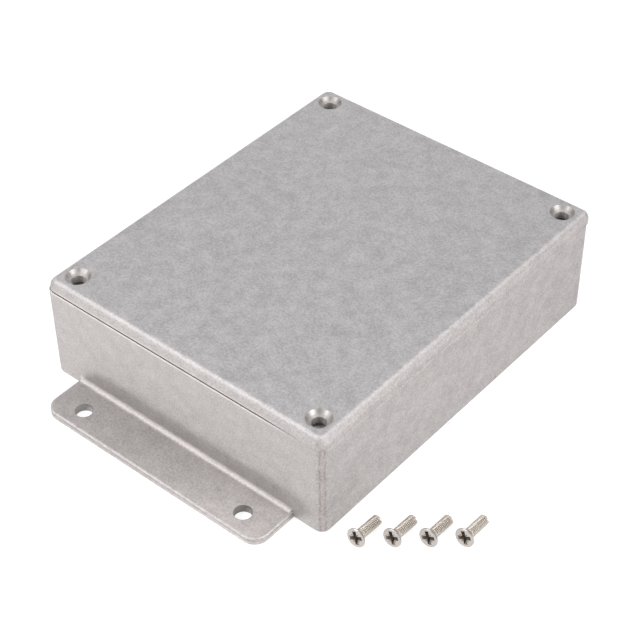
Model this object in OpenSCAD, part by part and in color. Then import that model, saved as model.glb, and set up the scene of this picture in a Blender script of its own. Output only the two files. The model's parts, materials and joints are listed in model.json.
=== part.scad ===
// Flanged die-cast enclosure: a drafted base casting, a lid that drops into it and four loose lid screws.
// Millimetres. Origin at the centre of the base's underside, X across the case, Y along it, Z up.

/* [Base casting] */
// Width of the case over the rim
case_w = 101; // [90:1:140]
// Length of the case over the rim, between the flanged ends
case_l = 121; // [110:1:180]
// Height of the base from its underside to the rim
base_h = 31.2; // [27:0.2:60]
// Thickness of the side walls
wall = 2.4; // [2:0.1:3]
// Thickness of the floor
floor_t = 2.2; // [1.8:0.1:3.5]
// Draft of the cast walls in degrees
draft = 0.2; // [0.1:0.1:1.2]
// Radius of the upright corners at the rim, base and lid alike
corner_r = 3; // [2.7:0.1:4]
// Radius of the edge under the walls
foot_r = 1.2; // [0.6:0.1:1.6]
// Radius of the rim's outer edge
rim_r = 0.5; // [0.2:0.05:0.6]
// Radius where the inner walls run into the floor
floor_fillet_r = 1.5; // [0.8:0.1:2]

/* [Mounting flanges] */
// How far each flange stands out from the rim's face
flange_reach = 14.55; // [13:0.05:22]
// Distance of a flange's side from the case's side
flange_inset = 10.5; // [6:0.5:16]
// Thickness of the flanges
flange_t = 2.6; // [2:0.1:4]
// Radius of the flanges' outer corners
flange_corner_r = 4.5; // [2:0.5:5]
// Radius of the flanges' edges
flange_edge_r = 0.4; // [0.2:0.05:0.8]
// Radius of the fillet between flange and wall
flange_fillet_r = 1.4; // [0.8:0.1:2]
// Diameter of the mounting holes
mount_hole_d = 5.2; // [3.2:0.1:6]
// Distance of a mounting hole from the flange's outer edge
mount_hole_edge = 6; // [5:0.1:7]
// Distance of a mounting hole from the flange's side
mount_hole_side = 10; // [6:0.5:20]

/* [Corner bosses] */
// Distance of a lid screw from the case's side
screw_side = 6.9; // [6.2:0.1:8]
// Distance of a lid screw from the case's end
screw_end = 6; // [5.4:0.1:7]
// Radius of a boss round its screw
boss_r = 4.3; // [3.5:0.1:6]
// Distance of a boss's top below the rim
boss_drop = 1; // [0:0.1:2]
// Diameter of the tapped hole before the thread is cut
tap_d = 2.5; // [2:0.1:3]
// Depth of the tapped hole
tap_depth = 14; // [10:0.5:20]
// Width of the chamfer at the tapped hole's mouth
tap_chamfer = 0.6; // [0.2:0.05:0.8]

/* [Card guides] */
// Thickness of a board that slides between two ribs
board_t = 2; // [1.6:0.1:3.2]
// Thickness of a rib
guide_t = 1.4; // [1:0.1:2.5]
// How far a rib stands out from the wall
guide_depth = 1.5; // [1:0.1:3]
// Distance between neighbouring board slots
guide_pitch = 24; // [16:1:40]
// Distance of the ribs' tops below the rim
guide_drop = 5; // [4:0.5:12]

/* [Lid] */
// How far the rim stands out beside the lid on each long side, with the lid in the middle
lid_side_step = 0.5; // [0:0.1:0.8]
// How far the lid stands out over the rim at each end, with the lid in the middle
lid_end_over = 0.5; // [0:0.1:0.8]
// Height of the lid's edge
lid_h = 3.8; // [3.4:0.1:5]
// Thickness of the lid's plate inside its lip
lid_plate_t = 2.4; // [1.8:0.1:2.8]
// Radius of the lid's top edge
lid_edge_r = 2.5; // [0.8:0.1:2.6]
// Radius of the lid's lower edge at the seam
lid_seam_r = 0.15; // [0.1:0.05:0.6]
// Depth of the locating lip under the lid
lip_h = 2; // [1:0.1:3]
// Thickness of the locating lip
lip_t = 1.6; // [1:0.1:2.5]
// Play between the lip and the base, on each side
lip_play = 1; // [0.9:0.05:1.5]
// Sideways play that the loose lid has taken up across the case
lid_slip_x = 0.4; // [-0.5:0.05:0.5]
// Sideways play that the loose lid has taken up along the case
lid_slip_y = 0.4; // [-0.6:0.05:0.6]
// Diameter of the holes through the lid
lid_hole_d = 4.2; // [3.4:0.1:4.6]
// Diameter of the countersinks in the lid's top
countersink_d = 7.2; // [6:0.1:7.6]

/* [Lid screws] */
// Thread diameter of a screw
screw_d = 3; // [2.5:0.1:4]
// Length of a screw over its head
screw_l = 10; // [8:0.5:16]
// Diameter of the countersunk head
head_d = 5.6; // [5:0.1:7]
// Height of the head's straight rim
head_rim_h = 0.4; // [0.1:0.05:0.6]
// Chamfer at the screw's tip
tip_chamfer = 0.4; // [0.2:0.05:0.7]
// Width of the cross recess over its wings
recess_d = 4; // [2.4:0.1:4.4]
// Thickness of the cross recess's wings
recess_t = 1; // [0.5:0.05:1.2]
// Depth of the cross recess
recess_depth = 1.5; // [0.8:0.1:2]
// Turn of the cross recess about the screw in degrees
recess_turn = 24; // [0:1:90]
// Distance of the first screw's head from the case's side
row_side = 8.2; // [6:0.1:20]
// Distance of the first screw's head behind the case's end
row_back = 3.3; // [-5:0.1:20]
// Spacing of the screws that lie in a row
row_pitch = 9.4; // [7:0.1:15]
// Direction of the row of screws in degrees
row_angle = 39.8; // [0:0.1:60]
// Turn of each lying screw away from the case's length in degrees
row_turn = 2.6; // [-10:0.1:10]

/* [Hidden] */
$fn = 96;
// Small overshoot that lets a cut pass clear through a face
clear = 1;
// Small bite that lets a fillet run into its wall
bite = 0.04;
// Small lap that lets a rounding cross the sides of its corner
lap = 0.004;
screw_count = 4;
half_w = case_w / 2;
half_l = case_l / 2;
lean = base_h * tan(draft);
corner_x = half_w - corner_r;
corner_y = half_l - corner_r;
foot_corner_r = corner_r - lean;
inner_w = half_w - wall;
inner_l = half_l - wall;
inner_corner_r = corner_r;
inner_h = base_h - floor_t;
inner_lean = inner_h * tan(draft);
screw_x = half_w - screw_side;
screw_y = half_l - screw_end;
flange_w = case_w - 2 * flange_inset;
flange_l = case_l + 2 * flange_reach;
mount_hole_x = flange_w / 2 - mount_hole_side;
mount_hole_y = flange_l / 2 - mount_hole_edge;
guide_span = 2 * (screw_y - boss_r) - board_t - 2 * guide_t;
guide_count = floor(guide_span / guide_pitch) + 1;
boss_top = base_h - boss_drop;
guide_top = base_h - guide_drop;
lid_corner_x = half_w - lid_side_step - corner_r;
lid_corner_y = half_l + lid_end_over - corner_r;
lip_x = inner_w - lip_play;
lip_y = inner_l - lip_play;
head_r = head_d / 2;
screw_r = screw_d / 2;
screw_tilt = atan2(head_r - screw_r, screw_l - tip_chamfer - head_rim_h);
screw_rise = head_rim_h * sin(screw_tilt) + head_r * cos(screw_tilt);

casting_grey = [0.72, 0.72, 0.71];
lid_grey = [0.76, 0.76, 0.76];
nickel = [0.82, 0.80, 0.76];

function unit(v) = v / norm(v);

// Corner b of an outline a-b-c: half of its angle, and the centre of an arc of radius r that touches both sides
function half_angle(a, b, c) = acos(unit(a - b) * unit(c - b)) / 2;
function arc_centre(a, b, c, r) = b + unit(unit(a - b) + unit(c - b)) * r / sin(half_angle(a, b, c));
function arc_start(a, b, c, r) = b + unit(a - b) * r / tan(half_angle(a, b, c));

// Convex outline whose corner i is rounded with radii[i]; 0 leaves it sharp
module rounded_outline(points, radii) {
    n = len(points);
    difference() {
        polygon(points);
        for (i = [0 : n - 1])
            if (radii[i] > 0)
                corner_waste(points[(i + n - 1) % n], points[i], points[(i + 1) % n], radii[i]);
    }
}

// What a rounding takes off the corner b of an outline
module corner_waste(a, b, c, r) {
    centre = arc_centre(a, b, c, r);
    start = arc_start(a, b, c, r);
    end = arc_start(c, b, a, r);
    difference() {
        polygon([
            centre,
            start + unit(start - centre) * clear,
            b + unit(b - centre) * 2 * clear,
            end + unit(end - centre) * clear
        ]);
        translate(centre) circle(r + lap);
    }
}

// Rectangle of half sizes x and y with all its corners rounded
module rounded_rectangle(x, y, r) {
    rounded_outline([[-x, -y], [x, -y], [x, y], [-x, y]], [r, r, r, r]);
}

// Copies of a piece made for the +X +Y quarter, in all four quarters
module in_quarters() {
    for (mx = [0, 1], my = [0, 1])
        mirror([mx, 0, 0]) mirror([0, my, 0]) children();
}

// Block whose upright section, drawn outwards from its corner centres, runs round a rounded rectangle
module swept_block(x, y, height) {
    in_quarters() translate([x, y, 0]) rotate_extrude(angle = 90) children();
    for (side = [0, 1]) {
        mirror([side, 0, 0]) translate([x, y, 0]) rotate([90, 0, 0]) linear_extrude(2 * y) children();
        mirror([0, side, 0]) translate([-x, y, 0]) rotate([90, 0, 90]) linear_extrude(2 * x) children();
    }
    translate([-x, -y, 0]) cube([2 * x, 2 * y, height]);
}

// Outside of the base without its flanges
module base_outside() {
    edge_r = min(foot_r, foot_corner_r - bite);
    swept_block(corner_x, corner_y, base_h)
        rounded_outline(
            [[0, 0], [foot_corner_r, 0], [corner_r, base_h], [0, base_h]],
            [0, edge_r, rim_r, 0]);
}

// Space inside the walls, from the floor to above the rim
module base_inside() {
    edge_r = min(floor_fillet_r, inner_corner_r - inner_lean - bite);
    translate([0, 0, floor_t])
        swept_block(inner_w - inner_corner_r, inner_l - inner_corner_r, inner_h + clear)
            rounded_outline(
                [
                    [0, 0],
                    [inner_corner_r - inner_lean, 0],
                    [inner_corner_r, inner_h],
                    [inner_corner_r, inner_h + clear],
                    [0, inner_h + clear]
                ],
                [0, edge_r, 0, 0, 0]);
}

// Plan of one corner boss, grown by a margin, from its rounded inner corner to inside the walls
module boss_outline(margin) {
    low_x = screw_x - boss_r - margin;
    low_y = screw_y - boss_r - margin;
    high_x = half_w - wall / 2;
    high_y = half_l - wall / 2;
    rounded_outline(
        [[low_x, low_y], [high_x, low_y], [high_x, high_y], [low_x, high_y]],
        [boss_r + margin, 0, 0, 0]);
}

// Pairs of ribs on the long walls that hold upright boards
module card_guides() {
    depth = guide_depth + inner_lean + wall / 2;
    for (side = [0, 1], i = [0 : guide_count - 1], rib = [-1, 1])
        mirror([side, 0, 0])
            translate([
                inner_w - inner_lean - guide_depth,
                (i - (guide_count - 1) / 2) * guide_pitch + rib * (board_t + guide_t) / 2 - guide_t / 2,
                floor_t / 2
            ])
                cube([depth, guide_t, guide_top - floor_t / 2]);
}

// Plate under the base whose two ends are the mounting flanges
module flange_plate() {
    r = flange_corner_r;
    swept_block(flange_w / 2 - r, flange_l / 2 - r, flange_t)
        rounded_outline(
            [[0, 0], [r, 0], [r, flange_t], [0, flange_t]],
            [0, flange_edge_r, flange_edge_r, 0]);
}

// Fillets where the end walls run into the flanges
module flange_fillets() {
    r = flange_fillet_r;
    length = flange_w - 2 * flange_edge_r;
    wall_y = half_l - (base_h - flange_t - r) * tan(draft);
    for (end = [0, 1])
        mirror([0, end, 0])
            translate([-length / 2, 0, 0])
                rotate([90, 0, 90])
                    linear_extrude(length)
                        difference() {
                            translate([wall_y - wall / 2, flange_t / 2]) square([wall / 2 + r, flange_t / 2 + r]);
                            translate([wall_y + r - bite, flange_t + r - bite]) circle(r);
                            translate([wall_y + r - bite, flange_t - bite]) square([clear, r + clear]);
                            translate([wall_y - bite, flange_t + r - bite]) square([r + clear, clear]);
                        }
}

// Tapped hole down from the top of a boss, with a chamfered mouth
module tapped_hole() {
    translate([screw_x, screw_y, boss_top]) {
        translate([0, 0, -tap_depth]) cylinder(h = tap_depth + clear, d = tap_d);
        translate([0, 0, -tap_chamfer])
            cylinder(h = tap_chamfer + clear, d1 = tap_d, d2 = tap_d + 2 * (tap_chamfer + clear));
    }
}

// Base casting with walls, floor, corner bosses, card guides and mounting flanges in one piece
module base() {
    color(casting_grey)
        difference() {
            union() {
                base_outside();
                flange_plate();
                flange_fillets();
            }
            difference() {
                base_inside();
                in_quarters() linear_extrude(boss_top) boss_outline(0);
                card_guides();
            }
            in_quarters() tapped_hole();
            in_quarters()
                translate([mount_hole_x, mount_hole_y, -clear])
                    cylinder(h = flange_t + 2 * clear, d = mount_hole_d);
        }
}

// Hole through the lid with its countersink
module lid_hole() {
    sink = (countersink_d - lid_hole_d) / 2;
    translate([screw_x, screw_y, -clear]) cylinder(h = lid_h + 2 * clear, d = lid_hole_d);
    translate([screw_x, screw_y, lid_h - sink])
        cylinder(h = sink + clear, d1 = lid_hole_d, d2 = countersink_d + 2 * clear);
}

// Lip under the lid that finds the base's mouth, broken off at the corner bosses
module locating_lip() {
    translate([0, 0, -lip_h])
        linear_extrude(lip_h + lid_seam_r)
            difference() {
                rounded_rectangle(lip_x, lip_y, lip_t);
                rounded_rectangle(lip_x - lip_t, lip_y - lip_t, lip_t / 2);
                in_quarters() boss_outline(lip_play);
            }
}

// Lid casting with its rounded edge, locating lip and countersunk holes
module lid() {
    edge_r = min(lid_edge_r, corner_r - bite);
    color(lid_grey)
        translate([lid_slip_x, lid_slip_y, base_h])
            difference() {
                union() {
                    swept_block(lid_corner_x, lid_corner_y, lid_h)
                        rounded_outline(
                            [[0, 0], [corner_r, 0], [corner_r, lid_h], [0, lid_h]],
                            [0, lid_seam_r, edge_r, 0]);
                    locating_lip();
                }
                translate([0, 0, -clear])
                    linear_extrude(lid_h - lid_plate_t + clear)
                        difference() {
                            rounded_rectangle(lip_x - lip_t, lip_y - lip_t, lip_t / 2);
                            in_quarters() boss_outline(lip_play);
                        }
                in_quarters() lid_hole();
            }
}

// Countersunk cross-recess screw with the face of its head at the origin and its shank along +Z
module screw() {
    difference() {
        rotate_extrude()
            polygon([
                [0, 0],
                [head_r, 0],
                [head_r, head_rim_h],
                [screw_r, head_rim_h + head_r - screw_r],
                [screw_r, screw_l - tip_chamfer],
                [screw_r - tip_chamfer, screw_l],
                [0, screw_l]
            ]);
        intersection() {
            translate([0, 0, -bite]) cylinder(h = recess_depth + bite, d1 = recess_d, d2 = recess_t);
            for (wing = [0, 90])
                rotate([0, 0, wing - recess_turn])
                    cube([recess_d + clear, recess_t, 2 * recess_depth + clear], center = true);
        }
    }
}

// The four lid screws, out of their holes, lying in a row on the surface that the base stands on
module lid_screws() {
    color(nickel)
        for (i = [0 : screw_count - 1])
            translate([
                half_w + row_side + i * row_pitch * cos(row_angle),
                -half_l + row_back + i * row_pitch * sin(row_angle),
                screw_rise
            ])
                rotate([-90 - screw_tilt, 0, row_turn])
                    screw();
}

base();
lid();
lid_screws();
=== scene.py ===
"""Looks of a flanged die-cast enclosure: tumbled castings, bright screws and a white light table."""
import json
import math
from typing import NamedTuple

import bmesh
import bpy
from mathutils import Matrix, Vector


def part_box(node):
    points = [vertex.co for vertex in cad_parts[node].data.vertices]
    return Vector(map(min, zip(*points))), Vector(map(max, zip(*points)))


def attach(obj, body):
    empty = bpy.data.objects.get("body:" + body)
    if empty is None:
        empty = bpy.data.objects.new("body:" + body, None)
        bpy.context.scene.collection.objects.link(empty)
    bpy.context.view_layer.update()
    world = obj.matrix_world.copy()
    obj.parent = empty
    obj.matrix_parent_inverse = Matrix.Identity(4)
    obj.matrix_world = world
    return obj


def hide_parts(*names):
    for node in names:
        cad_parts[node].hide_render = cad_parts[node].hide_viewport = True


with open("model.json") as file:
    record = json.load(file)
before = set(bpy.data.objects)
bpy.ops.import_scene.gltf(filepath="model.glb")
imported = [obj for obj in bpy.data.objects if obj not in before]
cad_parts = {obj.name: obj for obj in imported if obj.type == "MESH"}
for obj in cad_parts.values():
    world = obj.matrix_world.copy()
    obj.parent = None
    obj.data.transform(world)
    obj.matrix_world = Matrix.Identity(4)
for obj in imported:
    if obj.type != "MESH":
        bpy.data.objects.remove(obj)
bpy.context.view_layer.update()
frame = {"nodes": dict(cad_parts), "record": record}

bl_info = {
    "name": "Flanged die-cast enclosure",
    "version": (1, 0, 0),
    "blender": (4, 5, 0),
    "location": "View3D > Sidebar > Enclosure",
    "description": "Gives the packed enclosure its cast skin, machined holes, screws and stage",
    "category": "Object",
}

# Lengths in this script are metres; MM turns millimetres into them
MM = 0.001
BASE_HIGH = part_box("base")[1]
LID_LOW, LID_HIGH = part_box("lid")
LID_CENTRE = (LID_LOW + LID_HIGH) / 2
LID_HALF = (LID_HIGH - LID_LOW) / 2
ROW_LOW, ROW_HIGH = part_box("lid_screws")
BOLTS = {mount["name"]: mount["dims"] for mount in frame["record"]["mounts"]}["flange_bolts"]
SCREW_COUNT = 4
# Lengths that differ by less than this count as the same
SAME = 0.001 * MM
# Setting of the Map Range nodes, which ease from one number to another as a value crosses a range.
# Their inputs are the value, the two ends of its range and the two numbers
EASED = {"interpolation_type": "SMOOTHSTEP"}
# Strength of each finer layer of marks in a noise, as a share of the layer before
NOISE_FADE = 0.6
# Range in which most of a noise's values lie
NOISE_SPAN = (0.3, 0.7)


def linear(code):
    """Linear RGBA of an sRGB hex colour."""
    parts = [int(code[i:i + 2], 16) / 255 for i in (0, 2, 4)]
    return [c / 12.92 if c <= 0.04045 else ((c + 0.055) / 1.055) ** 2.4 for c in parts] + [1.0]


def add_node(tree, kind, inputs=(), **settings):
    """Adds a shader node with its settings, its inputs and its links, and returns it.

    Inputs go by name, or in the order in which the node shows them. Each is a value, an output to link,
    or a node whose first shown output is linked.
    """
    node = tree.nodes.new("ShaderNode" + kind)
    for name, value in settings.items():
        setattr(node, name, value)
    if isinstance(inputs, dict):
        pairs = [(node.inputs[name], value) for name, value in inputs.items()]
    else:
        pairs = zip([socket for socket in node.inputs if socket.enabled], inputs)
    for socket, value in pairs:
        if isinstance(value, bpy.types.Node):
            value = next(output for output in value.outputs if output.enabled)
        if isinstance(value, bpy.types.NodeSocket):
            tree.links.new(value, socket)
        else:
            socket.default_value = value
    return node


def new_material(name):
    """Empty node material, as the material and its tree."""
    material = bpy.data.materials.new(name)
    material.use_nodes = True
    material.node_tree.nodes.clear()
    return material, material.node_tree


def new_piece(name, bm):
    """Object at the origin that holds the finished mesh."""
    mesh = bpy.data.meshes.new(name)
    bm.to_mesh(mesh)
    bm.free()
    piece = bpy.data.objects.new(name, mesh)
    bpy.context.scene.collection.objects.link(piece)
    return piece


class CastingLook(bpy.types.PropertyGroup):
    """Finish of the two castings, and the sizes that its marks follow."""

    base_grey: bpy.props.FloatVectorProperty(
        name="Base skin", description="Colour of the base casting's skin",
        subtype="COLOR", size=4, min=0, max=1, default=linear("B1ADAC"))
    lid_grey: bpy.props.FloatVectorProperty(
        name="Lid skin", description="Colour of the lid casting's skin",
        subtype="COLOR", size=4, min=0, max=1, default=linear("B2B0B1"))
    # Also the colour of painted highlights along the edges, rim, foot and fillets
    rubbed_and_highlight_grey: bpy.props.FloatVectorProperty(
        name="Rubbed metal", description="Colour of edges that the tumbling stones rubbed bright",
        subtype="COLOR", size=4, min=0, max=1, default=linear("D8D2D0"))
    torn_grey: bpy.props.FloatVectorProperty(
        name="Torn metal", description="Colour of the lines that the die tore down the upright corners",
        subtype="COLOR", size=4, min=0, max=1, default=linear("98847F"))
    # Painted shade: this dark colour is mixed in where the seam's gap, the flanges' sides and the bolt holes
    # lie in shade
    painted_shade: bpy.props.FloatVectorProperty(
        name="Dirt", description="Colour of the dirt in the seam, the parting line and the bolt holes",
        subtype="COLOR", size=4, min=0, max=1, default=linear("332D2A"))
    cut_grey: bpy.props.FloatVectorProperty(
        name="Cut metal", description="Colour of the lid's countersinks",
        subtype="COLOR", size=4, min=0, max=1, default=linear("B6B2AF"))
    bore_grey: bpy.props.FloatVectorProperty(
        name="Bored metal", description="Colour of the bores and of the bosses' faces, which stayed clean",
        subtype="COLOR", size=4, min=0, max=1, default=linear("D6D3D0"))
    skin_rough: bpy.props.FloatProperty(
        name="Skin roughness", description="Mean roughness of the tumbled skin",
        subtype="FACTOR", min=0, max=1, default=0.75)
    cut_rough: bpy.props.FloatProperty(
        name="Countersink roughness", description="Roughness of the lid's countersinks",
        subtype="FACTOR", min=0, max=1, default=0.61)
    face_rough: bpy.props.FloatProperty(
        name="Face roughness", description="Roughness of the bosses' faces",
        subtype="FACTOR", min=0, max=1, default=0.7)
    bore_rough: bpy.props.FloatProperty(
        name="Bore roughness", description="Roughness of the bores",
        subtype="FACTOR", min=0, max=1, default=0.9)
    # The finest peened marks are nearer 0.1 mm, and are drawn as coarse as they need to show
    grain: bpy.props.FloatProperty(
        name="Grain", description="Width of the tumbled skin's fine marks",
        subtype="DISTANCE", unit="LENGTH", default=0.55 * MM)
    mottle: bpy.props.FloatProperty(
        name="Mottle", description="Width of the skin's light and dark patches",
        subtype="DISTANCE", unit="LENGTH", default=4 * MM)
    corner: bpy.props.FloatProperty(
        name="Corner", description="Radius of the upright corners",
        subtype="DISTANCE", unit="LENGTH", default=3 * MM)
    flange_reach: bpy.props.FloatProperty(
        name="Flange reach", description="How far a flange stands out from the case",
        subtype="DISTANCE", unit="LENGTH", default=14.55 * MM)
    flange_inset: bpy.props.FloatProperty(
        name="Flange inset", description="Distance of a flange's side from the case's side",
        subtype="DISTANCE", unit="LENGTH", default=10.5 * MM)
    flange_corner: bpy.props.FloatProperty(
        name="Flange corner", description="Radius of a flange's corners",
        subtype="DISTANCE", unit="LENGTH", default=4.5 * MM)
    flange_thickness: bpy.props.FloatProperty(
        name="Flange thickness", description="Thickness of the flanges",
        subtype="DISTANCE", unit="LENGTH", default=2.6 * MM)
    screw_side: bpy.props.FloatProperty(
        name="Screw from side", description="Distance of each lid screw from the case's side",
        subtype="DISTANCE", unit="LENGTH", default=6.9 * MM)
    screw_end: bpy.props.FloatProperty(
        name="Screw from end", description="Distance of each lid screw from the case's end",
        subtype="DISTANCE", unit="LENGTH", default=6 * MM)
    boss_drop: bpy.props.FloatProperty(
        name="Boss drop", description="Distance of the corner bosses' tops below the rim",
        subtype="DISTANCE", unit="LENGTH", default=1 * MM)
    spot_face: bpy.props.FloatProperty(
        name="Spot face", description="Diameter of the bright faces on top of the corner bosses",
        subtype="DISTANCE", unit="LENGTH", default=6.4 * MM)
    tapped_hole: bpy.props.FloatProperty(
        name="Tapped hole", description="Diameter of the tapped holes",
        subtype="DISTANCE", unit="LENGTH", default=2.5 * MM)
    tap_chamfer: bpy.props.FloatProperty(
        name="Tap chamfer", description="Depth of the chamfer at the tapped holes' mouths",
        subtype="DISTANCE", unit="LENGTH", default=0.6 * MM)
    lid_hole: bpy.props.FloatProperty(
        name="Lid hole", description="Diameter of the holes through the lid",
        subtype="DISTANCE", unit="LENGTH", default=4.2 * MM)
    countersink: bpy.props.FloatProperty(
        name="Countersink", description="Diameter of the lid's countersinks",
        subtype="DISTANCE", unit="LENGTH", default=7.2 * MM)


class CastingWearAndPaintedLight(bpy.types.PropertyGroup):
    """Strength of rubbed metal, painted highlight, painted light and shade on the castings; seam shade
    width.
    """

    # Rubbed metal and painted highlight along the lid's top edge
    lid_edge_rub_and_highlight: bpy.props.FloatProperty(
        name="Lid edge", description="Rub along the lid's rounded top edge",
        subtype="FACTOR", min=0, max=1, default=0.4)
    # Rubbed metal and painted highlight along the lid's lower edge at the ends
    lid_seam_rub_and_highlight: bpy.props.FloatProperty(
        name="Lid seam", description="Rub along the lid's lower edge at the case's ends",
        subtype="FACTOR", min=0, max=1, default=0.3)
    # Rubbed metal and painted highlight along the base's rim
    rim: bpy.props.FloatProperty(
        name="Rim", description="Rub along the base's rim at the case's ends",
        subtype="FACTOR", min=0, max=1, default=0.6)
    # Rubbed metal and painted highlight along the foot and the flanges' edges
    edges: bpy.props.FloatProperty(
        name="Edges", description="Rub along the base's foot and the flanges' edges",
        subtype="FACTOR", min=0, max=1, default=0.4)
    # Rubbed metal and painted highlight along the fillets
    fillet_rub_and_highlight: bpy.props.FloatProperty(
        name="Fillet", description="Rub along the fillets between flanges and walls",
        subtype="FACTOR", min=0, max=1, default=0.5)
    # Painted light: the flanges are lightened toward their +X end
    painted_light_end: bpy.props.FloatProperty(
        name="Clean end", description="Rub on the flanges at their +X end",
        subtype="FACTOR", min=0, max=1, default=0.32)
    torn: bpy.props.FloatProperty(
        name="Torn corners", description="Torn lines down the base's upright corners",
        subtype="FACTOR", min=0, max=1, default=0.6)
    # Painted shade in the seam's gap between lid and base, with its widths on base and lid below
    seam: bpy.props.FloatProperty(
        name="Seam dirt", description="Dirt in the seam at the case's ends",
        subtype="FACTOR", min=0, max=1, default=0.95)
    seam_shade_on_base: bpy.props.FloatProperty(
        name="Seam on base", description="Width of the seam's dirt on the base",
        subtype="DISTANCE", unit="LENGTH", default=0.35 * MM)
    seam_shade_on_lid: bpy.props.FloatProperty(
        name="Seam on lid", description="Width of the seam's dirt on the lid",
        subtype="DISTANCE", unit="LENGTH", default=0.7 * MM)
    # Painted shade on the flanges' sides, drawn as a broken dark line at the parting line's height
    parting_shade_thin: bpy.props.FloatProperty(
        name="Thin parting dirt", description="Dirt along the flanges' parting line, where it is thinnest",
        subtype="FACTOR", min=0, max=1, default=0.08)
    parting_shade_thick: bpy.props.FloatProperty(
        name="Thick parting dirt", description="Dirt along the flanges' parting line, where it is thickest",
        subtype="FACTOR", min=0, max=1, default=0.35)
    # Painted shade in the flanges' bolt holes, stronger on the +X side
    bolt_shade_left: bpy.props.FloatProperty(
        name="Left bolt dirt", description="Dirt in the bolt holes on the -X side",
        subtype="FACTOR", min=0, max=1, default=0.18)
    bolt_shade_right: bpy.props.FloatProperty(
        name="Right bolt dirt", description="Dirt in the bolt holes on the +X side",
        subtype="FACTOR", min=0, max=1, default=0.5)


class ScrewSizes(bpy.types.PropertyGroup):
    """Sizes and finish of the lid screws."""

    nickel: bpy.props.FloatVectorProperty(
        name="Nickel", description="Colour of the nickel plating",
        subtype="COLOR", size=4, min=0, max=1, default=linear("B2ADA9"))
    rolled: bpy.props.FloatVectorProperty(
        name="Rolled nickel", description="Colour of the plating on the rolled thread",
        subtype="COLOR", size=4, min=0, max=1, default=linear("BAB2A9"))
    # Painted shade: the plating in the recess is drawn darker, as the shade there
    recess_shade: bpy.props.FloatVectorProperty(
        name="Recess", description="Colour of the dull plating inside the recess",
        subtype="COLOR", size=4, min=0, max=1, default=linear("8C8077"))
    thread: bpy.props.FloatProperty(
        name="Thread", description="Outer diameter of the thread",
        subtype="DISTANCE", unit="LENGTH", default=3 * MM)
    pitch: bpy.props.FloatProperty(
        name="Pitch", description="Rise of the thread in one turn",
        subtype="DISTANCE", unit="LENGTH", default=0.6 * MM)
    length: bpy.props.FloatProperty(
        name="Length", description="Length from the head's face to the tip",
        subtype="DISTANCE", unit="LENGTH", default=10 * MM)
    head: bpy.props.FloatProperty(
        name="Head", description="Diameter of the countersunk head",
        subtype="DISTANCE", unit="LENGTH", default=5.6 * MM)
    rim: bpy.props.FloatProperty(
        name="Rim", description="Height of the head's straight rim",
        subtype="DISTANCE", unit="LENGTH", default=0.4 * MM)
    tip: bpy.props.FloatProperty(
        name="Tip", description="Chamfer at the tip",
        subtype="DISTANCE", unit="LENGTH", default=0.4 * MM)
    recess: bpy.props.FloatProperty(
        name="Recess width", description="Width of the cross recess over its wings",
        subtype="DISTANCE", unit="LENGTH", default=4 * MM)
    wing: bpy.props.FloatProperty(
        name="Wing", description="Thickness of the recess's wings",
        subtype="DISTANCE", unit="LENGTH", default=1.15 * MM)
    recess_depth: bpy.props.FloatProperty(
        name="Recess depth", description="Depth of the cross recess",
        subtype="DISTANCE", unit="LENGTH", default=1.5 * MM)
    recess_turn: bpy.props.FloatProperty(
        name="Recess turn", description="Turn of the recess about the screw",
        subtype="ANGLE", unit="ROTATION", default=math.radians(-24))
    row_turn: bpy.props.FloatProperty(
        name="Row turn", description="Turn of each lying screw away from the case's length",
        subtype="ANGLE", unit="ROTATION", default=math.radians(2.6))


class StageSetting(bpy.types.PropertyGroup):
    """Camera, light table and surrounding light."""

    floor_white: bpy.props.FloatVectorProperty(
        name="Floor", description="Colour of the light table and the surroundings",
        subtype="COLOR", size=4, min=0, max=1, default=linear("FFFFFF"))
    floor_matte: bpy.props.FloatVectorProperty(
        name="Floor matte", description="Grey of the table's top, which takes the shadows",
        subtype="COLOR", size=4, min=0, max=1, default=linear("959595"))
    glow: bpy.props.FloatProperty(
        name="Glow", description="Share of the table's white that comes through it from below",
        subtype="FACTOR", min=0, max=1, default=0.8)
    surround: bpy.props.FloatProperty(
        name="Surround", description="Strength of the even light from all round", min=0, default=0.4)
    camera_place: bpy.props.FloatVectorProperty(
        name="Camera", description="Place of the camera",
        subtype="TRANSLATION", unit="LENGTH", size=3, default=(0.24563, -0.28993, 0.34448))
    camera_azimuth: bpy.props.FloatProperty(
        name="Azimuth", description="Turn of the camera about the case, from the end with the near flange",
        subtype="ANGLE", unit="ROTATION", default=math.radians(40.434))
    camera_elevation: bpy.props.FloatProperty(
        name="Elevation", description="Angle from which the camera looks down",
        subtype="ANGLE", unit="ROTATION", default=math.radians(41.675))
    camera_roll: bpy.props.FloatProperty(
        name="Roll", description="Lean of the camera about its line of sight",
        subtype="ANGLE", unit="ROTATION", default=math.radians(-0.603))
    lens: bpy.props.FloatProperty(
        name="Lens", description="Focal length on a 36 mm sensor, in millimetres",
        subtype="DISTANCE_CAMERA", unit="CAMERA", default=97.436)


class EnclosureSettings(bpy.types.PropertyGroup):
    """Everything that the sidebar shows."""

    casting: bpy.props.PointerProperty(
        name="Castings", description="Finish of the base and the lid", type=CastingLook)
    # Rubbed metal, painted highlights, painted light and painted shade on the castings
    wear_and_painted_light: bpy.props.PointerProperty(
        name="Wear", description="Wear and dirt on the base and the lid", type=CastingWearAndPaintedLight)
    screw: bpy.props.PointerProperty(
        name="Screws", description="Sizes and finish of the lid screws", type=ScrewSizes)
    stage: bpy.props.PointerProperty(
        name="Stage", description="Camera, light table and surrounding light", type=StageSetting)


class TurnedHoles(NamedTuple):
    """Four like holes set evenly about a centre, each bored up to a height and funnelled open above it."""

    centre: tuple
    offset: tuple
    bore_top: float
    bore_radius: float
    mouth_top: float
    mouth_radius: float
    bore_grey: tuple
    bore_rough: float
    mouth_grey: tuple
    mouth_rough: float


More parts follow.
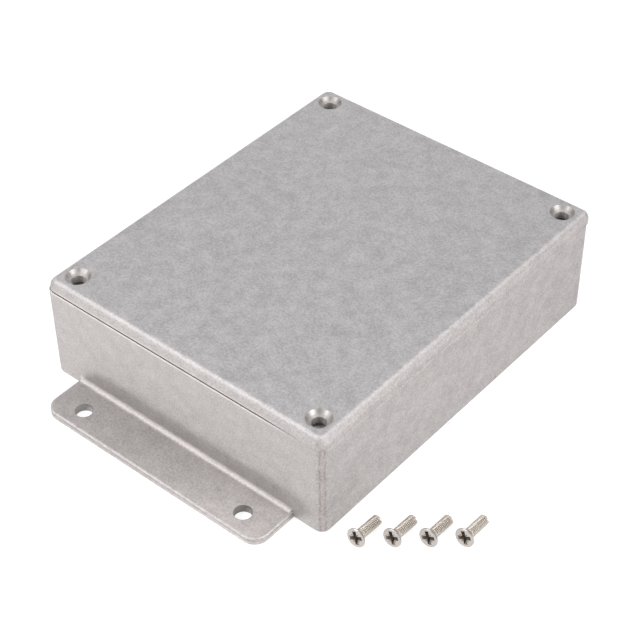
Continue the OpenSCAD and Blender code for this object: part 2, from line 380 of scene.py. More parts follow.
class Softbox(NamedTuple):
    """Soft lamp that looks at the case: direction in degrees, lengths in metres and power in watts."""

    name: str
    azimuth: float
    elevation: float
    distance: float
    width: float
    height: float
    power: float


SOFTBOXES = (
    Softbox("right_softbox", azimuth=90, elevation=20, distance=0.7, width=0.3, height=0.3, power=4.1),
    Softbox("back_top_softbox", azimuth=120, elevation=70, distance=0.7, width=0.3, height=0.3, power=1.75),
    Softbox("left_softbox", azimuth=315, elevation=45, distance=0.7, width=0.3, height=0.3, power=2.4),
    Softbox("far_softbox", azimuth=220, elevation=35, distance=0.35, width=0.15, height=0.15, power=0.11),
    Softbox("front_softbox", azimuth=-10, elevation=35, distance=0.35, width=0.15, height=0.15, power=0.42),
)
UNDER_TABLE = Softbox(
    "under_table", azimuth=-25, elevation=-22, distance=0.7, width=0.3, height=0.1, power=1.2)


def case_half(look):
    """Half sizes of the base's plan without its flanges."""
    return Vector((BASE_HIGH.x, BASE_HIGH.y - look.flange_reach, 0))


def flange_half(look):
    """Half sizes of the plan that reaches over both flanges."""
    return Vector((BASE_HIGH.x - look.flange_inset, BASE_HIGH.y, 0))


def screw_offset(look):
    """Offset of the screws from the middle of a casting."""
    half = case_half(look)
    return (half.x - look.screw_side, half.y - look.screw_end, 0)


def beyond_corners(tree, place, centre, half, radius):
    """Plan offset of a point past the centres of a rounded rectangle's corner arcs, and 0 where it isn't."""
    # One metre up is above every point, so heights don't count
    arc_centre = (half.x - radius, half.y - radius, 1)
    offset = add_node(tree, "VectorMath", (place, centre), operation="SUBTRACT")
    mirrored = add_node(tree, "VectorMath", (offset,), operation="ABSOLUTE")
    past = add_node(tree, "VectorMath", (mirrored, arc_centre), operation="SUBTRACT")
    return add_node(tree, "VectorMath", (past, (0, 0, 0)), operation="MAXIMUM")


def inset(tree, place, centre, half, radius):
    """Distance of a point, in plan, inside a rounded rectangle's edge, up to the radius of its corners."""
    past = beyond_corners(tree, place, centre, half, radius)
    reach = add_node(tree, "VectorMath", (past,), operation="LENGTH")
    return add_node(tree, "Math", (radius, reach), operation="SUBTRACT")


def edge_gap(tree, inward, upward):
    """Distance from an edge, counted along both of the faces that meet there."""
    across = add_node(tree, "Math", (inward,), operation="ABSOLUTE")
    along = add_node(tree, "Math", (upward,), operation="ABSOLUTE")
    return add_node(tree, "Math", (across, along), operation="ADD")


def from_hole(tree, place, centre, offset):
    """Plan offset of a point from the axis of the nearest of four holes, set evenly about a centre."""
    around = add_node(tree, "VectorMath", (place, centre), operation="SUBTRACT")
    quarter = add_node(tree, "VectorMath", (around,), operation="SIGN")
    axis = add_node(tree, "VectorMath", (quarter, offset), operation="MULTIPLY")
    apart = add_node(tree, "VectorMath", (around, axis), operation="SUBTRACT")
    return add_node(tree, "VectorMath", (apart, (1, 1, 0)), operation="MULTIPLY")


def strongest(tree, marks):
    """The strongest of some marks at each point."""
    most = marks[0]
    for mark in marks[1:]:
        most = add_node(tree, "Math", (most, mark), operation="MAXIMUM")
    return most


def along_ends(tree, place):
    """1 along the case's two ends, easing to 0 before the corners on the +X side, and 0 along the sides."""
    across = add_node(tree, "SeparateXYZ", (place,)).outputs["X"]
    left = -BASE_HIGH.x
    right = BASE_HIGH.x
    off_left = add_node(tree, "MapRange", (across, left + 0.8 * MM, left + 3 * MM, 0.0, 1.0), **EASED)
    off_right = add_node(tree, "MapRange", (across, right - 22 * MM, right - 6 * MM, 1.0, 0.0), **EASED)
    return add_node(tree, "Math", (off_left, off_right), operation="MULTIPLY")


def seam_painted_shade(tree, place, wear_and_painted_light, inward, width):
    """Painted shade in the gap of the seam between base and lid: a thin dark line along the two ends."""
    up = add_node(tree, "SeparateXYZ", (place,)).outputs["Z"]
    from_seam = add_node(tree, "Math", (up, BASE_HIGH.z), operation="SUBTRACT")
    gap = edge_gap(tree, inward, from_seam)
    full_width = 0.6 * width
    line = add_node(tree, "MapRange", (gap, full_width, width, wear_and_painted_light.seam, 0.0), **EASED)
    return add_node(tree, "Math", (line, along_ends(tree, place)), operation="MULTIPLY")


def parting_line_painted_shade(tree, place, look, wear_and_painted_light):
    """How far painted shade darkens the flanges' sides along the parting line of the die's two halves."""
    line_height = 0.62 * look.flange_thickness
    up = add_node(tree, "SeparateXYZ", (place,)).outputs["Z"]
    from_line = add_node(tree, "Math", (up, line_height), operation="SUBTRACT")
    side = inset(tree, place, (0, 0, 0), flange_half(look), look.flange_corner)
    gap = edge_gap(tree, side, from_line)
    line = add_node(tree, "MapRange", (gap, 0.15 * MM, 0.5 * MM, 1.0, 0.0), **EASED)
    patches = add_node(tree, "TexNoise", {
        "Vector": place, "Scale": 1 / (4 * MM), "Detail": 3.0, "Roughness": NOISE_FADE})
    broken = add_node(tree, "MapRange", (
        patches, 0.35, 0.65, wear_and_painted_light.parting_shade_thin, wear_and_painted_light.parting_shade_thick), **EASED)
    return add_node(tree, "Math", (line, broken), operation="MULTIPLY")


def bolt_hole_painted_shade(tree, place, wear_and_painted_light):
    """How far painted shade darkens the bolt holes in the flanges, most of all those on the +X side."""
    offset = (BOLTS["spacing_x_mm"] / 2 * MM, BOLTS["spacing_y_mm"] / 2 * MM, 0)
    apart = from_hole(tree, place, (0, 0, 0), offset)
    radius = add_node(tree, "VectorMath", (apart,), operation="LENGTH")
    past = add_node(tree, "Math", (radius, BOLTS["hole_r_mm"] * MM), operation="SUBTRACT")
    inside = add_node(tree, "MapRange", (past, 0.02 * MM, 0.15 * MM, 1.0, 0.0), **EASED)
    across = add_node(tree, "SeparateXYZ", (place,)).outputs["X"]
    grimy = add_node(tree, "MapRange", (
        across, -5 * MM, 5 * MM, wear_and_painted_light.bolt_shade_left, wear_and_painted_light.bolt_shade_right), **EASED)
    return add_node(tree, "Math", (inside, grimy), operation="MULTIPLY")


def lid_rub_and_highlight(tree, place, wear_and_painted_light):
    """Stone-rubbed metal and painted highlight along the lid's rounded top edge and, at the ends, its seam.
    """
    up = add_node(tree, "SeparateXYZ", (place,)).outputs["Z"]
    down = add_node(tree, "Math", (LID_HIGH.z, up), operation="SUBTRACT")
    below_top = add_node(tree, "MapRange", (down, 0.02 * MM, 0.18 * MM, 0.0, 1.0), **EASED)
    near_top = add_node(tree, "MapRange", (down, 0.25 * MM, 0.8 * MM, wear_and_painted_light.lid_edge_rub_and_highlight, 0.0), **EASED)
    top_line = add_node(tree, "Math", (below_top, near_top), operation="MULTIPLY")
    from_seam = add_node(tree, "Math", (up, BASE_HIGH.z), operation="SUBTRACT")
    near_seam = add_node(tree, "MapRange", (from_seam, 0.8 * MM, 1.6 * MM, wear_and_painted_light.lid_seam_rub_and_highlight, 0.0), **EASED)
    low_line = add_node(tree, "Math", (near_seam, along_ends(tree, place)), operation="MULTIPLY")
    return strongest(tree, (top_line, low_line))


def base_rub_and_painted_light(tree, place, look, wear_and_painted_light):
    """Rubbed metal and painted highlights on rim, foot, fillets, flange edges; painted light at flange +X
    end.
    """
    axes = add_node(tree, "SeparateXYZ", (place,))
    up = axes.outputs["Z"]
    below_rim = add_node(tree, "Math", (BASE_HIGH.z, up), operation="SUBTRACT")
    from_flange_top = add_node(tree, "Math", (up, look.flange_thickness), operation="SUBTRACT")
    wall = inset(tree, place, (0, 0, 0), case_half(look), look.corner)
    flange = inset(tree, place, (0, 0, 0), flange_half(look), look.flange_corner)

    # Rubbed metal and painted highlight along the rim's rounding at the ends
    rim_gap = edge_gap(tree, wall, below_rim)
    near_rim = add_node(tree, "MapRange", (rim_gap, 0.5 * MM, 1 * MM, wear_and_painted_light.rim, 0.0), **EASED)
    rim = add_node(tree, "Math", (near_rim, along_ends(tree, place)), operation="MULTIPLY")

    # Rubbed metal and painted highlight along the foot and the flanges' lips, broken by nicks
    foot_gap = edge_gap(tree, wall, up)
    flange_gap = edge_gap(tree, flange, from_flange_top)
    nearer = add_node(tree, "Math", (foot_gap, flange_gap), operation="MINIMUM")
    nicks = add_node(tree, "TexNoise", {
        "Vector": place, "Scale": 1 / (2.5 * MM), "Detail": 3.0, "Roughness": NOISE_FADE})
    nick_reach = add_node(tree, "Math", (nicks, 1.4 * MM), operation="MULTIPLY")
    uneven = add_node(tree, "Math", (nearer, nick_reach), operation="ADD")
    edges = add_node(tree, "MapRange", (uneven, 0.7 * MM, 1.6 * MM, wear_and_painted_light.edges, 0.0), **EASED)

    # Rubbed metal and painted highlight along the fillets between walls and flanges
    bead_gap = edge_gap(tree, wall, from_flange_top)
    bead = add_node(tree, "MapRange", (bead_gap, 1.1 * MM, 1.6 * MM, wear_and_painted_light.fillet_rub_and_highlight, 0.0), **EASED)
    at_flange = add_node(tree, "MapRange", (flange, -0.3 * MM, 0.3 * MM, 0.0, 1.0), **EASED)
    fillet_rub_and_highlight = add_node(tree, "Math", (bead, at_flange), operation="MULTIPLY")

    # Painted light: the flanges lighten toward their +X end
    toward_end = add_node(tree, "MapRange", (
        axes.outputs["X"], -10 * MM, 36 * MM, 0.0, wear_and_painted_light.painted_light_end), **EASED)
    off_case = add_node(tree, "MapRange", (wall, -2 * MM, -1 * MM, 1.0, 0.0), **EASED)
    painted_light_end = add_node(tree, "Math", (toward_end, off_case), operation="MULTIPLY")
    return strongest(tree, (rim, edges, fillet_rub_and_highlight, painted_light_end))


def corner_drag(tree, place, look, wear_and_painted_light):
    """How far metal is torn in the two lines that the die dragged down each upright corner of the base."""
    line_offset = 1 * MM
    wander_width = 1.6 * MM
    past = add_node(tree, "SeparateXYZ", (
        beyond_corners(tree, place, (0, 0, 0), case_half(look), look.corner),))
    across = add_node(tree, "Math", (past.outputs["X"], past.outputs["Y"]), operation="SUBTRACT")
    waves = add_node(tree, "TexNoise", {
        "Vector": place, "Scale": 1 / (2 * MM), "Detail": 4.0, "Roughness": NOISE_FADE})
    both_ways = add_node(tree, "Math", (waves, 0.5), operation="SUBTRACT")
    wander = add_node(tree, "Math", (both_ways, wander_width), operation="MULTIPLY")
    wandered = add_node(tree, "Math", (across, wander), operation="ADD")
    off_middle = add_node(tree, "Math", (wandered,), operation="ABSOLUTE")
    off_line = add_node(tree, "Math", (off_middle, line_offset), operation="SUBTRACT")
    gap = add_node(tree, "Math", (off_line,), operation="ABSOLUTE")
    torn = add_node(tree, "MapRange", (gap, 0.1 * MM, 0.6 * MM, wear_and_painted_light.torn, 0.0), **EASED)
    breaks = add_node(tree, "TexNoise", {
        "Vector": place, "Scale": 1 / (1.2 * MM), "Detail": 2.0, "Roughness": NOISE_FADE})
    broken = add_node(tree, "MapRange", (breaks, 0.35, 0.6, 0.1, 1.0), **EASED)
    lines = add_node(tree, "Math", (torn, broken), operation="MULTIPLY")
    lesser = add_node(tree, "Math", (past.outputs["X"], past.outputs["Y"]), operation="MINIMUM")
    on_corner = add_node(tree, "MapRange", (lesser, 0.1 * MM, 0.6 * MM, 0.0, 1.0), **EASED)
    return add_node(tree, "Math", (lines, on_corner), operation="MULTIPLY")


def tumbled_skin(tree, place, look, tint, rub_and_highlight, painted_shade):
    """Raw die-cast aluminium, tumbled after casting.

    The tumbling stones leave a matte grey skin of fine peened marks over soft patches, lighter and
    smoother where edges were rubbed, the lightening also a painted highlight. Painted shade darkens
    the seam, the flanges' sides at the parting line and the bolt holes.
    """
    mottle_share = 0.4
    darkest = 0.8
    lightest = 1.2
    patch_rough = 0.02
    rub_polish = 0.06
    grain = add_node(tree, "TexNoise", {
        "Vector": place, "Scale": 1 / look.grain, "Detail": 2.0, "Roughness": NOISE_FADE})
    mottle = add_node(tree, "TexNoise", {
        "Vector": place, "Scale": 1 / look.mottle, "Detail": 4.0, "Roughness": NOISE_FADE})
    marks = add_node(tree, "Mix", (mottle_share, grain, mottle), data_type="FLOAT")
    tone = add_node(tree, "MapRange", (marks, 0.25, 0.75, darkest, lightest), **EASED)
    # Rubbed metal and painted highlight: the rubbed colour laid along the edges
    rubbed = add_node(tree, "Mix", (rub_and_highlight, tint, look.rubbed_and_highlight_grey), data_type="RGBA")
    toned = add_node(tree, "VectorMath", (rubbed, tone), operation="MULTIPLY")
    # Painted shade: the dark colour mixed in at the seam, the parting line and the bolt holes
    colour = add_node(tree, "Mix", (painted_shade, toned, look.painted_shade), data_type="RGBA")
    patches = add_node(tree, "MapRange", (
        mottle, *NOISE_SPAN, look.skin_rough - patch_rough, look.skin_rough + patch_rough), **EASED)
    polish = add_node(tree, "Math", (rub_and_highlight, rub_polish), operation="MULTIPLY")
    rough = add_node(tree, "Math", (patches, polish), operation="SUBTRACT")
    bump = add_node(tree, "Bump", {"Height": marks, "Strength": 0.6, "Distance": 0.06 * MM})
    return add_node(tree, "BsdfPrincipled", {
        "Base Color": colour, "Metallic": 1.0, "Roughness": rough, "Normal": bump})


def turned_metal(tree, place, holes):
    """Bright aluminium that a tool turned or drilled, and where it is: near each hole, inside its funnel.

    The tool's rings draw a reflection out into streaks across them, and its chatter gives the funnel
    lighter and darker sectors.
    """
    # Real tool rings are nearer 0.1 mm apart, and are drawn as coarse as they need to show
    ring_pitch = 0.3 * MM
    sector_width = 1.6 * MM
    sector_radius = 3 * MM
    dark_sector = 0.78
    light_sector = 1.14
    outward = from_hole(tree, place, holes.centre, holes.offset)
    radius = add_node(tree, "VectorMath", (outward,), operation="LENGTH")
    up = add_node(tree, "SeparateXYZ", (place,)).outputs["Z"]
    funnel = add_node(tree, "MapRange", (
        up, holes.bore_top, holes.mouth_top, holes.bore_radius, holes.mouth_radius), **EASED)
    past = add_node(tree, "Math", (radius, funnel), operation="SUBTRACT")
    cut = add_node(tree, "MapRange", (past, -0.02 * MM, 0.16 * MM, 1.0, 0.0), **EASED)

    turns = add_node(tree, "Math", (radius, 2 * math.pi / ring_pitch), operation="MULTIPLY")
    rings = add_node(tree, "Math", (turns,), operation="SINE")
    bump = add_node(tree, "Bump", {"Height": rings, "Strength": 0.25, "Distance": 0.01 * MM})
    bearing = add_node(tree, "VectorMath", (outward,), operation="NORMALIZE")
    on_circle = add_node(tree, "VectorMath", (
        bearing, (sector_radius, sector_radius, 0)), operation="MULTIPLY")
    sectors = add_node(tree, "TexNoise", {
        "Vector": on_circle, "Scale": 1 / sector_width, "Detail": 2.0, "Roughness": NOISE_FADE})
    chatter = add_node(tree, "MapRange", (sectors, *NOISE_SPAN, dark_sector, light_sector), **EASED)

    in_mouth = add_node(tree, "MapRange", (
        up, holes.bore_top - 0.2 * MM, holes.bore_top + 0.2 * MM, 0.0, 1.0), **EASED)
    grey = add_node(tree, "Mix", (in_mouth, holes.bore_grey, holes.mouth_grey), data_type="RGBA")
    colour = add_node(tree, "VectorMath", (grey, chatter), operation="MULTIPLY")
    rough = add_node(tree, "MapRange", (in_mouth, 0.0, 1.0, holes.bore_rough, holes.mouth_rough), **EASED)
    metal = add_node(tree, "BsdfPrincipled", {
        "Base Color": colour, "Metallic": 1.0, "Roughness": rough, "Anisotropic": 0.5,
        "Tangent": outward, "Normal": bump})
    return metal, cut


def finish_casting(casting, material, tree, skin, turned, cut):
    """Joins a casting's skin and its turned metal, and gives the material to the casting."""
    both = add_node(tree, "MixShader", (cut, skin, turned))
    add_node(tree, "OutputMaterial", {"Surface": both})
    frame["nodes"][casting].material_slots[0].material = material


class ENCLOSURE_OT_base_casting(bpy.types.Operator):
    """Give the base casting its tumbled skin, its torn corners and its tapped holes"""

    bl_idname = "enclosure.base_casting"
    bl_label = "Base casting"

    def execute(self, context):
        look = context.scene.enclosure.casting
        wear_and_painted_light = context.scene.enclosure.wear_and_painted_light
        # Tumbled aluminium: a matte mid-grey with a fine speckle, brighter with a painted highlight where
        # edges are worn, and painted shade in the seam, the parting line and the bolt holes
        material, tree = new_material("tumbled_die_cast_aluminium_base")
        place = add_node(tree, "TexCoord").outputs["Object"]
        wall = inset(tree, place, (0, 0, 0), case_half(look), look.corner)
        # The seam meets the base on the rim's rounding, this far inside the wall's face
        seam_inset = 0.4 * MM
        inside_rim = add_node(tree, "Math", (wall, seam_inset), operation="SUBTRACT")
        painted_shade = strongest(tree, (
            seam_painted_shade(tree, place, wear_and_painted_light, inside_rim, wear_and_painted_light.seam_shade_on_base),
            parting_line_painted_shade(tree, place, look, wear_and_painted_light),
            bolt_hole_painted_shade(tree, place, wear_and_painted_light)))
        drag = corner_drag(tree, place, look, wear_and_painted_light)
        tint = add_node(tree, "Mix", (drag, look.base_grey, look.torn_grey), data_type="RGBA")
        skin = tumbled_skin(tree, place, look, tint, base_rub_and_painted_light(tree, place, look, wear_and_painted_light), painted_shade)
        boss_top = BASE_HIGH.z - look.boss_drop
        turned, cut = turned_metal(tree, place, TurnedHoles(
            centre=(0, 0, 0), offset=screw_offset(look),
            bore_top=boss_top - look.tap_chamfer, bore_radius=look.tapped_hole / 2,
            mouth_top=boss_top, mouth_radius=look.spot_face / 2,
            bore_grey=look.bore_grey, bore_rough=look.bore_rough,
            mouth_grey=look.bore_grey, mouth_rough=look.face_rough))
        finish_casting("base", material, tree, skin, turned, cut)
        return {"FINISHED"}


class ENCLOSURE_OT_lid_casting(bpy.types.Operator):
    """Give the lid casting its tumbled skin, its rubbed edge and painted highlight, and its countersunk
    holes
    """

    bl_idname = "enclosure.lid_casting"
    bl_label = "Lid casting"

    def execute(self, context):
        look = context.scene.enclosure.casting
        wear_and_painted_light = context.scene.enclosure.wear_and_painted_light
        # Tumbled aluminium like the base's, a little cooler on its flat top, while its sides take the
        # base's warmer grey as a painted warm reflection
        material, tree = new_material("tumbled_die_cast_aluminium_lid")
        place = add_node(tree, "TexCoord").outputs["Object"]
        up = add_node(tree, "SeparateXYZ", (place,)).outputs["Z"]
        down = add_node(tree, "Math", (LID_HIGH.z, up), operation="SUBTRACT")
        painted_warm_sides = add_node(tree, "MapRange", (down, 0.1 * MM, 1 * MM, 0.0, 1.0), **EASED)
        tint = add_node(tree, "Mix", (painted_warm_sides, look.lid_grey, look.base_grey), data_type="RGBA")
        side = inset(tree, place, LID_CENTRE, LID_HALF, look.corner)
        # Painted shade in the seam's gap
        painted_shade = seam_painted_shade(tree, place, wear_and_painted_light, side, wear_and_painted_light.seam_shade_on_lid)
        skin = tumbled_skin(tree, place, look, tint, lid_rub_and_highlight(tree, place, wear_and_painted_light), painted_shade)
        turned, cut = turned_metal(tree, place, TurnedHoles(
            centre=(LID_CENTRE.x, LID_CENTRE.y, 0), offset=screw_offset(look),
            bore_top=LID_HIGH.z - (look.countersink - look.lid_hole) / 2, bore_radius=look.lid_hole / 2,
            mouth_top=LID_HIGH.z, mouth_radius=look.countersink / 2,
            bore_grey=look.bore_grey, bore_rough=look.bore_rough,
            mouth_grey=look.cut_grey, mouth_rough=look.cut_rough))
        finish_casting("lid", material, tree, skin, turned, cut)
        return {"FINISHED"}


def nickel_plate(name, tint, rough, dent):
    """Nickel-plated steel: warm grey and bright, smeared by handling and dented by small knocks.

    Rough is the range of its roughness, and dent is how deep the dents are. The attribute sunk darkens it
    toward the root of the thread, as painted shade in the groove.
    """
    crest_tone = 1.15
    # Painted shade: how dark the thread's root is drawn
    root_shade = 0.5
    material, tree = new_material(name)
    place = add_node(tree, "TexCoord").outputs["Object"]
    smear = add_node(tree, "TexNoise", {
        "Vector": place, "Scale": 1 / (1.2 * MM), "Detail": 3.0, "Roughness": NOISE_FADE})
    smear_rough = add_node(tree, "MapRange", (smear, *NOISE_SPAN, *rough), **EASED)
    smear_tone = add_node(tree, "MapRange", (smear, *NOISE_SPAN, 0.95, 1.03), **EASED)
    sunk = add_node(tree, "Attribute", attribute_name="sunk").outputs["Fac"]
    # Painted shade toward the thread's root
    groove_shade = add_node(tree, "MapRange", (sunk, 0.0, 1.0, crest_tone, root_shade), **EASED)
    tone = add_node(tree, "Math", (smear_tone, groove_shade), operation="MULTIPLY")
    colour = add_node(tree, "VectorMath", (tint[:3], tone), operation="MULTIPLY")
    dents = add_node(tree, "TexNoise", {
        "Vector": place, "Scale": 1 / (0.8 * MM), "Detail": 2.0, "Roughness": NOISE_FADE})
    bump = add_node(tree, "Bump", {"Height": dents, "Strength": 0.5, "Distance": dent})
    plate = add_node(tree, "BsdfPrincipled", {
        "Base Color": colour, "Metallic": 1.0, "Roughness": smear_rough, "Normal": bump})
    add_node(tree, "OutputMaterial", {"Surface": plate})
    return material


def roll_thread(bm, size, start, end):
    """Sinks the thread's groove into the shank between two heights.

    The attribute sunk keeps how deep each point lies, from 0 on the crest to 1 at the root.
    """
    depth = 0.4 * size.pitch
    # Widths of the groove's flat root and of each flank, as shares of the pitch
    root = 0.125
    flank = 0.25
    thread_r = size.thread / 2
    sunk = bm.verts.layers.float.new("sunk")
    for v in bm.verts:
        if abs(math.hypot(v.co.x, v.co.y) - thread_r) > SAME:
            continue
        turn = math.atan2(v.co.y, v.co.x) / (2 * math.pi)
        phase = (v.co.z / size.pitch - turn) % 1
        groove = min(1, max(0, (root / 2 + flank - abs(phase - 0.5)) / flank))
        run_out = min(v.co.z - start, end - v.co.z) / size.pitch
        v[sunk] = groove * min(1, max(0, run_out))
        keep = 1 - depth * v[sunk] / thread_r
        v.co.x *= keep
        v.co.y *= keep


def screw_body(size):
    """Turned body of one screw along +Z, with its head's face at the origin and its thread rolled."""
    rings_per_turn = 8
    segments = 48
    head_chamfer = 0.08 * MM
    head_r = size.head / 2
    thread_r = size.thread / 2
    neck = size.rim + head_r - thread_r
    thread_end = size.length - size.tip
    outline = [
        (0, 0), (head_r - head_chamfer, 0), (head_r, head_chamfer), (head_r, size.rim), (thread_r, neck),
        (thread_r, thread_end), (thread_r - size.tip, size.length), (0, size.length)]
    bm = bmesh.new()
    points = [bm.verts.new((r, 0, z)) for r, z in outline]
    edges = [bm.edges.new(pair) for pair in zip(points, points[1:])]
    shank = edges[4]
    rings = round((thread_end - neck) / size.pitch * rings_per_turn)
    bmesh.ops.subdivide_edges(bm, edges=[shank], cuts=rings - 1)
    bmesh.ops.spin(bm, geom=bm.verts[:] + bm.edges[:], cent=(0, 0, 0), axis=(0, 0, 1), dvec=(0, 0, 0),
                   angle=2 * math.pi, steps=segments, use_merge=True)
    bmesh.ops.remove_doubles(bm, verts=bm.verts[:], dist=SAME)
    roll_thread(bm, size, neck, thread_end)
    for face in bm.faces:
        on_thread = neck < face.calc_center_median().z < thread_end
        face.material_index = int(on_thread)
    bmesh.ops.recalc_face_normals(bm, faces=bm.faces[:])
    return bm


def recess_cutter(size):
    """Two crossed tapering wings that sink into the head, and four fine ticks between them."""
    proud = 0.2 * MM
    deep_width = 0.45 * size.recess
    proud_width = size.recess + (size.recess - deep_width) * proud / size.recess_depth
    tick_start = 0.9 * size.wing
    tick_length = 0.45 * size.wing
    tick_width = 0.2 * size.wing
    tick_depth = 0.15 * MM
    bm = bmesh.new()
    for quarter in range(2):
        made = bmesh.ops.create_cube(bm, size=1)["verts"]
        for v in made:
            deep = v.co.z > 0
            v.co.x *= deep_width if deep else proud_width
            v.co.y *= size.wing
            v.co.z = size.recess_depth if deep else -proud
        turn = quarter * math.pi / 2 + size.recess_turn
        bmesh.ops.rotate(bm, verts=made, cent=(0, 0, 0), matrix=Matrix.Rotation(turn, 3, "Z"))
    for quarter in range(4):
        made = bmesh.ops.create_cube(bm, size=1)["verts"]
        for v in made:
            v.co.x = tick_start + (v.co.x + 0.5) * tick_length
            v.co.y *= tick_width
            v.co.z = tick_depth if v.co.z > 0 else -proud
        turn = (quarter + 0.5) * math.pi / 2 + size.recess_turn
        bmesh.ops.rotate(bm, verts=made, cent=(0, 0, 0), matrix=Matrix.Rotation(turn, 3, "Z"))
    return bm


def screw_mesh(context, size, plate, thread, dull_and_shaded):
    """One finished screw with its recess cut, standing on its head's face."""
    sharp_from = math.radians(35)
    piece = new_piece("screw", screw_body(size))
    cutter = new_piece("recess_cutter", recess_cutter(size))
    piece.data.materials.append(plate)
    piece.data.materials.append(thread)
    # The cutter hands the recess's painted shade to the faces that it cuts
    cutter.data.materials.append(dull_and_shaded)
    cut = piece.modifiers.new("recess", "BOOLEAN")
    cut.operation = "DIFFERENCE"
    cut.solver = "EXACT"
    cut.use_self = True
    cut.material_mode = "TRANSFER"
    cut.object = cutter
    finished = bpy.data.meshes.new_from_object(piece.evaluated_get(context.evaluated_depsgraph_get()))
    # Removing a mesh takes its object along
    for scrap in (piece.data, cutter.data):
        bpy.data.meshes.remove(scrap)
    finished.shade_smooth()
    finished.set_sharp_from_angle(angle=sharp_from)
    return finished


class ENCLOSURE_OT_lid_screws(bpy.types.Operator):
    """Build the four cross-recess screws that lie beside the case"""

    bl_idname = "enclosure.lid_screws"
    bl_label = "Lid screws"

    def execute(self, context):
        size = context.scene.enclosure.screw
        # Plated heads: warm and bright, with soft glints from small knocks
        plate = nickel_plate("nickel_plated_steel", size.nickel, rough=(0.34, 0.42), dent=0.06 * MM)
        # Rolled thread: a little duller, with painted shade in its roots, so that its ribs show
        # as light and dark lines
        thread = nickel_plate("nickel_plated_thread", size.rolled, rough=(0.45, 0.5), dent=0.0)
        # Recess: duller plating in a darker colour, painted shade that makes the cross look dark
        dull_and_shaded = nickel_plate("dull_nickel_painted_shade_in_recess", size.recess_shade, rough=(0.7, 0.85), dent=0.0)
        tilt = math.atan2((size.head - size.thread) / 2, size.length - size.tip - size.rim)
        lying = Matrix.Rotation(size.row_turn, 4, "Z") @ Matrix.Rotation(-math.pi / 2 - tilt, 4, "X")
        master = screw_mesh(context, size, plate, thread, dull_and_shaded)
        master.transform(lying)
        corners = [v.co for v in master.vertices]
        low = Vector([min(c[axis] for c in corners) for axis in range(3)])
        high = Vector([max(c[axis] for c in corners) for axis in range(3)])
        first = ROW_LOW - low
        last = ROW_HIGH - high
        for i in range(SCREW_COUNT):
            mesh = master.copy()
            mesh.transform(Matrix.Translation(first.lerp(last, i / (SCREW_COUNT - 1))))
            piece = bpy.data.objects.new(f"lid_screw_{i + 1}", mesh)
            context.scene.collection.objects.link(piece)
            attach(piece, "case")
            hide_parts("lid_screws")
        bpy.data.meshes.remove(master)
        return {"FINISHED"}


def direction(azimuth, elevation):
    """Unit vector from the case toward an azimuth, turned from the near flange's end, and an elevation."""
    flat = math.cos(elevation)
    return Vector((math.sin(azimuth) * flat, -math.cos(azimuth) * flat, math.sin(elevation)))


def add_lamp(scene, softbox):
    """Lamp object of a softbox, aimed at the middle of the case."""
    middle = Vector((0, 0, 0.02))
    lamp = bpy.data.lights.new(softbox.name, "AREA")
    lamp.shape = "RECTANGLE"
    lamp.size = softbox.width
    lamp.size_y = softbox.height
    lamp.energy = softbox.power
    made = bpy.data.objects.new(softbox.name, lamp)
    toward = direction(math.radians(softbox.azimuth), math.radians(softbox.elevation))
    made.location = middle + softbox.distance * toward
    made.rotation_euler = toward.to_track_quat("Z", "Y").to_euler()
    scene.collection.objects.link(made)
    return made


def add_under_lamp(scene):
    """Lamp under the table, which lights only the castings, through the table's top."""
    under = add_lamp(scene, UNDER_TABLE)
    under.data.cycles.use_multiple_importance_sampling = False
    castings = bpy.data.collections.new("castings")
    castings.objects.link(frame["nodes"]["base"])
    castings.objects.link(frame["nodes"]["lid"])
    under.light_linking.receiver_collection = castings


def add_surround(scene, setting):
    """Even white light from all round."""
    world = bpy.data.worlds.new("even_surround")
    world.use_nodes = True
    world.node_tree.nodes.clear()
    light = add_node(world.node_tree, "Background", {
        "Color": setting.floor_white, "Strength": setting.surround})
    add_node(world.node_tree, "OutputWorld", {"Surface": light})
    scene.world = world


def white_floor(setting):
    """Top of a light table.

    It is white to the eye and in reflections, with a little matte that keeps a shadow, and light from
    under the table passes up through it.
    """
    material, tree = new_material("white_light_table")
    path = add_node(tree, "LightPath")
    seen = strongest(tree, (
        path.outputs["Is Camera Ray"], path.outputs["Is Glossy Ray"], path.outputs["Is Transmission Ray"]))
    strength = add_node(tree, "Math", (seen, setting.glow), operation="MULTIPLY")
    shine = add_node(tree, "Emission", {"Color": setting.floor_white, "Strength": strength})
    matte = add_node(tree, "BsdfDiffuse", {"Color": setting.floor_matte})
    table = add_node(tree, "AddShader", (matte, shine))
    passing = add_node(tree, "BsdfTransparent")
    both = add_node(tree, "MixShader", (path.outputs["Is Shadow Ray"], table, passing))
    add_node(tree, "OutputMaterial", {"Surface": both})
    return material


def add_floor(setting):
    """Large light table just under the case."""
    half_width = 10
    drop = 0.05 * MM
    bm = bmesh.new()
    bmesh.ops.create_grid(bm, x_segments=1, y_segments=1, size=half_width)
    bmesh.ops.translate(bm, verts=bm.verts[:], vec=(0, 0, -drop))
    floor = new_piece("floor", bm)
    floor.data.materials.append(white_floor(setting))


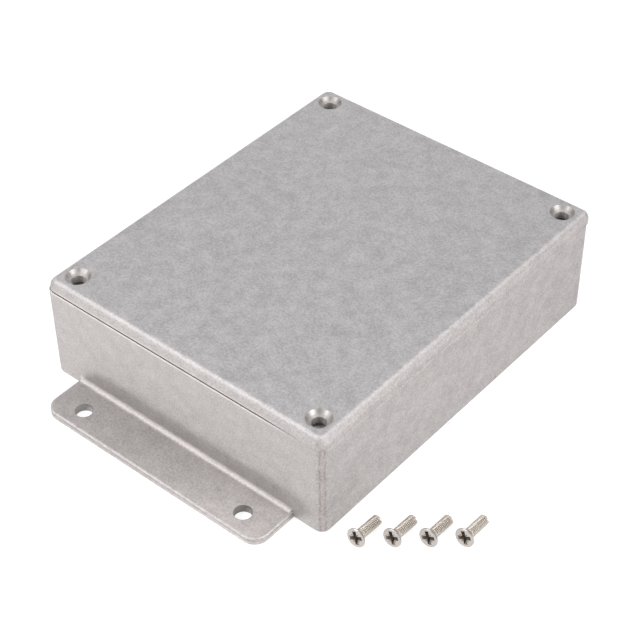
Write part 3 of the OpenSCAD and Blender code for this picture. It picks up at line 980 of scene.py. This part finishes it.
def add_camera(scene, setting):
    """Camera at the photograph's place and angle."""
    camera = bpy.data.cameras.new("camera")
    camera.sensor_width = 36
    camera.lens = setting.lens
    camera.dof.use_dof = False
    camera.clip_start = 0.01
    camera.clip_end = 100
    back = direction(setting.camera_azimuth, setting.camera_elevation)
    turn = back.to_track_quat("Z", "Y").to_matrix() @ Matrix.Rotation(setting.camera_roll, 3, "Z")
    eye = bpy.data.objects.new("camera", camera)
    eye.location = setting.camera_place
    eye.rotation_euler = turn.to_euler()
    scene.collection.objects.link(eye)
    scene.camera = eye


class ENCLOSURE_OT_stage(bpy.types.Operator):
    """Set up the light table, the soft lamps and the camera"""

    bl_idname = "enclosure.stage"
    bl_label = "Stage"

    def execute(self, context):
        scene = context.scene
        setting = scene.enclosure.stage
        scene.view_settings.view_transform = "Standard"
        add_surround(scene, setting)
        add_floor(setting)
        for softbox in SOFTBOXES:
            add_lamp(scene, softbox)
        add_under_lamp(scene)
        add_camera(scene, setting)
        return {"FINISHED"}


class ENCLOSURE_PT_sidebar(bpy.types.Panel):
    """Lists the steps and the sizes and colours that they use"""

    bl_idname = "ENCLOSURE_PT_sidebar"
    bl_label = "Die-cast enclosure"
    bl_space_type = "VIEW_3D"
    bl_region_type = "UI"
    bl_category = "Enclosure"

    def draw(self, context):
        settings = context.scene.enclosure
        for step in STEPS:
            self.layout.operator(step.bl_idname)
        for group in (settings.casting, settings.wear_and_painted_light, settings.screw, settings.stage):
            box = self.layout.box()
            for name in group.__annotations__:
                box.prop(group, name)


STEPS = (
    ENCLOSURE_OT_stage,
    ENCLOSURE_OT_base_casting,
    ENCLOSURE_OT_lid_casting,
    ENCLOSURE_OT_lid_screws,
)
CLASSES = (
    CastingLook,
    CastingWearAndPaintedLight,
    ScrewSizes,
    StageSetting,
    EnclosureSettings,
    *STEPS,
    ENCLOSURE_PT_sidebar,
)


def register():
    """Registers the classes and hangs the settings on the scene."""
    for cls in CLASSES:
        bpy.utils.register_class(cls)
    bpy.types.Scene.enclosure = bpy.props.PointerProperty(
        name="Enclosure", description="Sizes and colours of the enclosure's looks", type=EnclosureSettings)


def unregister():
    """Takes the settings and the classes away again."""
    del bpy.types.Scene.enclosure
    for cls in reversed(CLASSES):
        bpy.utils.unregister_class(cls)


def main():
    register()
    bpy.ops.enclosure.stage()
    bpy.ops.enclosure.base_casting()
    bpy.ops.enclosure.lid_casting()
    bpy.ops.enclosure.lid_screws()


if __name__ == "__main__":
    main()
